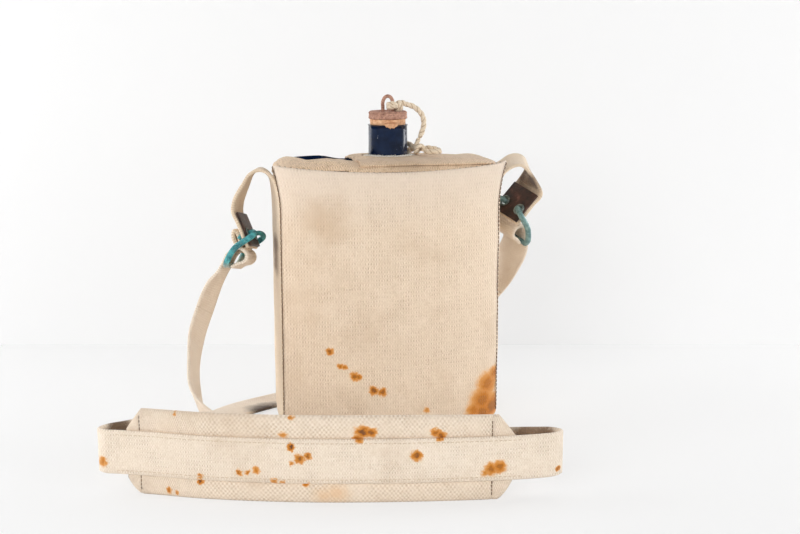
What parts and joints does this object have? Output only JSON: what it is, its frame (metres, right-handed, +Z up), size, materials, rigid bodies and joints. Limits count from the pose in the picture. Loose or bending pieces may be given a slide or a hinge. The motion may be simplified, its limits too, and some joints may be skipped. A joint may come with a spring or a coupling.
{
  "type": "military water bottle",
  "caption": "Enamelled kidney-section water bottle with corded cork stopper in a canvas cover, hooked by brass double hooks to a webbing shoulder strap with a pad.",
  "frame": {"origin": "centre of the cover's flat bottom, on the ground", "axes": "+Z up along the neck, -Y to the front of the cover, +X to the right seen from the front"},
  "size_m": [0.3066, 0.2384, 0.2275],
  "materials": {
    "enamel": "glossy vitreous enamel, worn",
    "cork": "bare cork",
    "rusted_steel": "rusted sheet",
    "verdigris_brass": "old brass with verdigris",
    "string": "two-ply natural string",
    "canvas": "coarse undyed webbing, stained",
    "webbing": "one inch undyed webbing",
    "leather": "dry brown leather"
  },
  "bodies": {
    "carrier": {"bottle_body": "enamel", "bottle_base": "enamel", "bottle_neck": "enamel", "cover_panel": "canvas", "left_side_strip": "webbing", "right_side_strip": "webbing", "front_top_flap": "canvas", "neck_flap": "canvas", "left_leather_patch": "leather", "right_leather_patch": "leather", "left_eyelet_front": "verdigris_brass", "left_eyelet_rear": "verdigris_brass", "right_eyelet_front": "verdigris_brass", "right_eyelet_rear": "verdigris_brass", "left_strap_end": "webbing", "shoulder_strap": "webbing", "right_strap_end": "webbing", "shoulder_pad": "canvas", "cord_side_knot": "string", "cord_neck_loop": "string", "cord_run": "string"},
    "stopper": {"stopper_cork": "cork", "stopper_cap": "rusted_steel", "stopper_wire_eye": "rusted_steel", "stopper_bottom_washer": "rusted_steel", "cord_eye_knot": "string"},
    "left_hook": {"left_double_hook": "verdigris_brass"},
    "right_hook": {"right_double_hook": "verdigris_brass"}
  },
  "joints": [
    {"name": "stopper_lift", "type": "slide", "parent": "carrier", "child": "stopper", "axis": [0, 0, 1], "range_m": [0, 0.03], "deforming": ["cord_run"]},
    {"name": "left_hook_swing", "type": "hinge", "parent": "carrier", "child": "left_hook", "pos_m": [-0.09465, 0.00931, 0.13339], "axis": [-0.304, -0.931, 0.202], "range_deg": [-20, 10], "deforming": ["left_strap_end"]},
    {"name": "right_hook_swing", "type": "hinge", "parent": "carrier", "child": "right_hook", "pos_m": [0.09409, 0.01653, 0.14676], "axis": [0.3998, -0.8696, -0.2899], "range_deg": [-10, 20], "deforming": ["right_strap_end"]}
  ]
}
